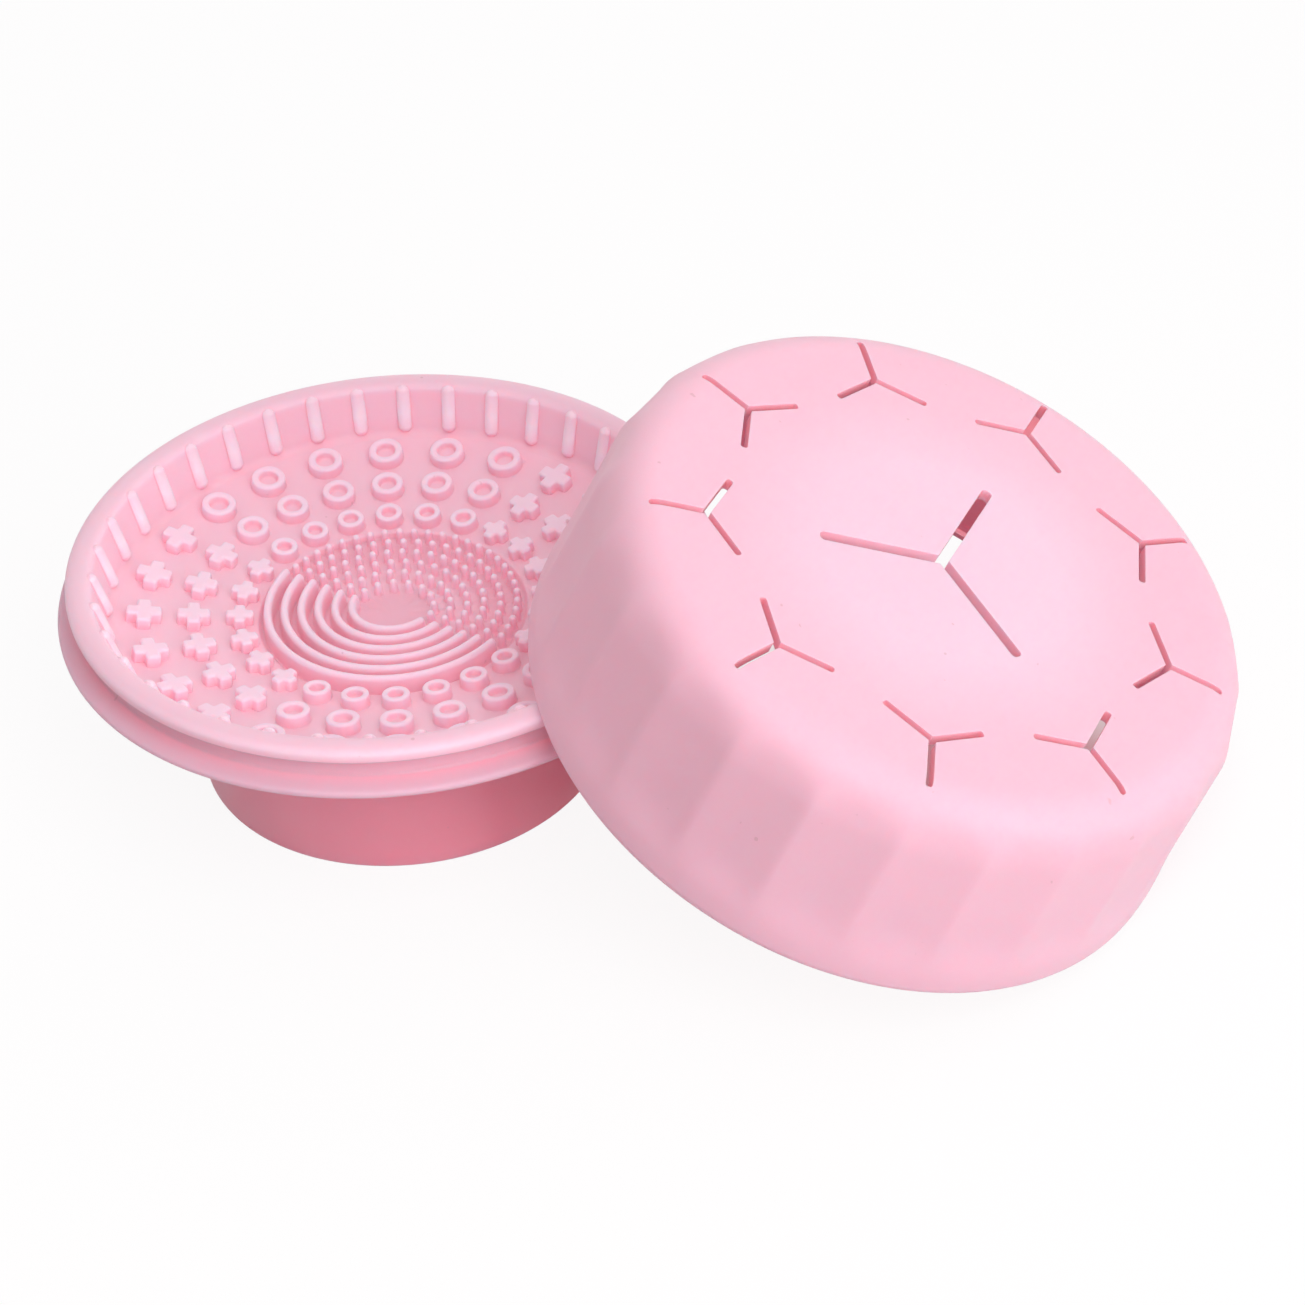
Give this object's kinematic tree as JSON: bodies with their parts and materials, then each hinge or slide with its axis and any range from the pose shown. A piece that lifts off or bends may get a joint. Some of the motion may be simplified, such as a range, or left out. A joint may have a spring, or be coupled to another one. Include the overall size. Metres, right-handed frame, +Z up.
{
  "type": "cosmetic brush cleaner",
  "caption": "Silicone cosmetic brush cleaner: a studded scrubbing dish on a foot, and a fluted cap with Y-shaped slits that hold brushes to dry.",
  "frame": {"origin": "on the table, under the middle of the bounding box", "axes": "+Z up from the table; +X from the dish's axis to the cap that leans on it; +Y completes the frame"},
  "size_m": [0.1924, 0.108, 0.0747],
  "materials": {
    "silicone": "soft satin, slightly translucent"
  },
  "bodies": {
    "dish": {"scrubbing_dish": "silicone"},
    "cap": {"drying_cap": "silicone"}
  },
  "joints": [
    {"name": "cap_lift", "type": "slide", "parent": "dish", "child": "cap", "axis": [0, 0, 1], "range_m": [0, 0.1]}
  ]
}
